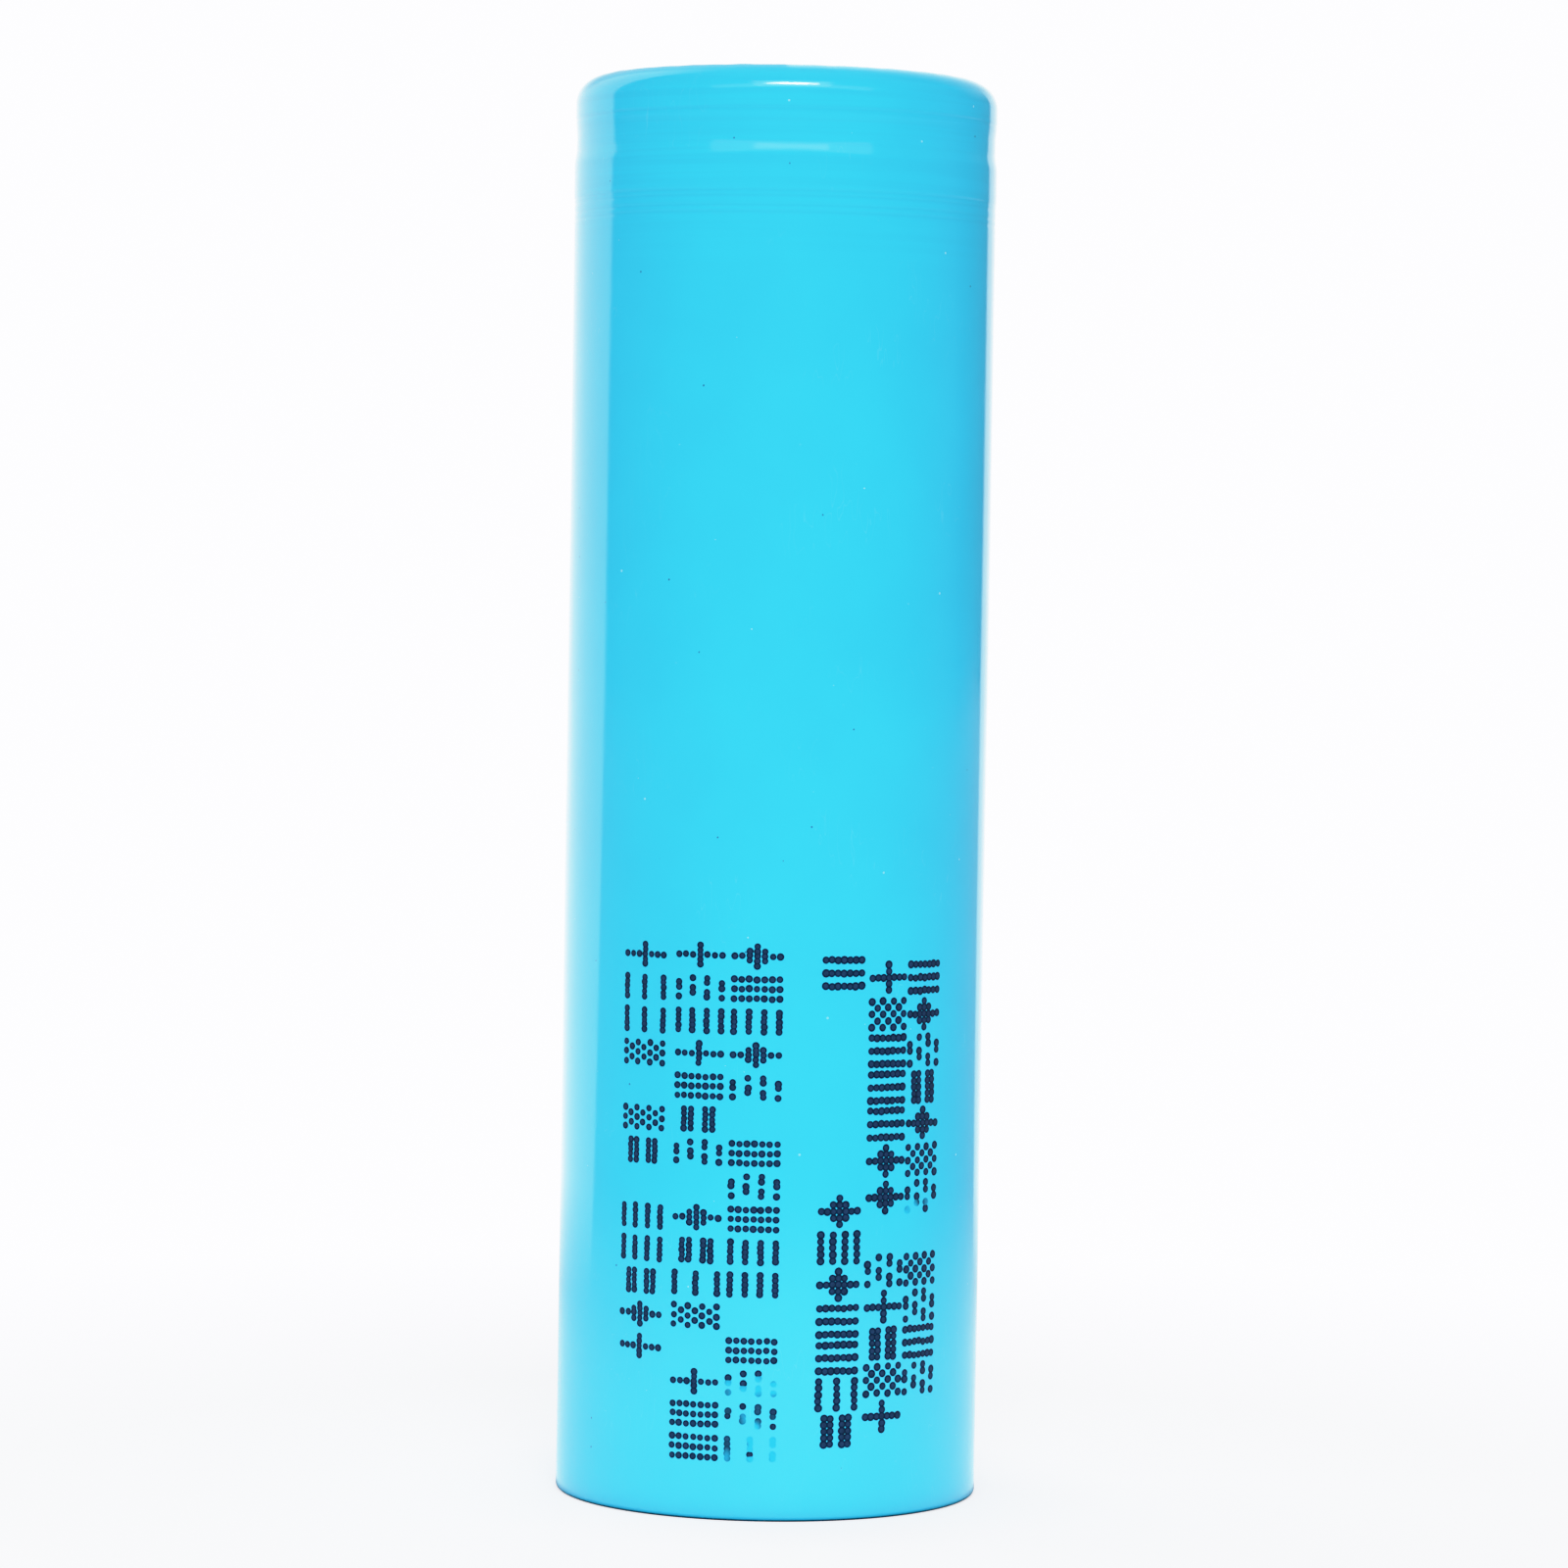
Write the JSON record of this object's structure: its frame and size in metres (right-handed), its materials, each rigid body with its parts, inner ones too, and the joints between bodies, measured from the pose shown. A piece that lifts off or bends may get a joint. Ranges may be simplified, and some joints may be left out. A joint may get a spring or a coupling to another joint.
{
  "type": "cylindrical battery cell",
  "caption": "Cylindrical rechargeable cell in a shrink sleeve: crimped steel can, vented cap and safety vent over a wound electrode roll.",
  "frame": {"origin": "centre of the sleeve's foot, on the surface the upright cell stands on", "axes": "+Z along the cell's axis, from the negative end to the positive end; +X and +Y in the plane of the foot, with the printed side facing -Y"},
  "size_m": [0.021, 0.021, 0.0707],
  "materials": {
    "sleeve_film": "gloss",
    "ring_paper": "matte",
    "can_steel": "satin",
    "cap_steel": "satin",
    "pin_steel": "satin",
    "vent_aluminium": "satin",
    "tab_aluminium": "satin",
    "tab_nickel": "satin",
    "gasket_plastic": "satin",
    "disc_plastic": "matte",
    "separator_film": "satin",
    "cathode_coat": "matte",
    "anode_coat": "matte",
    "tab_tape": "gloss",
    "roll_tape": "satin"
  },
  "bodies": {
    "cell": {"sleeve": "sleeve_film", "top_insulating_ring": "ring_paper", "can": "can_steel", "crimp_gasket": "gasket_plastic", "positive_cap": "cap_steel", "vent_disc": "vent_aluminium", "cid_insulator": "gasket_plastic", "contact_disc": "vent_aluminium", "sub_plate": "vent_aluminium", "upper_insulator": "disc_plastic", "positive_tab": "tab_aluminium", "positive_tab_tape": "tab_tape", "cathode": "cathode_coat", "anode": "anode_coat", "inner_separator": "separator_film", "outer_separator": "separator_film", "centre_pin": "pin_steel", "upper_roll_tape": "roll_tape", "lower_roll_tape": "roll_tape", "negative_tab": "tab_nickel", "negative_tab_tape": "tab_tape", "lower_insulator": "disc_plastic"},
    "diaphragm": {"vent_diaphragm": "vent_aluminium"}
  },
  "joints": [
    {"name": "cid_trip", "type": "slide", "parent": "cell", "child": "diaphragm", "axis": [0, 0, 1], "range_m": [0, 0.0005]}
  ]
}
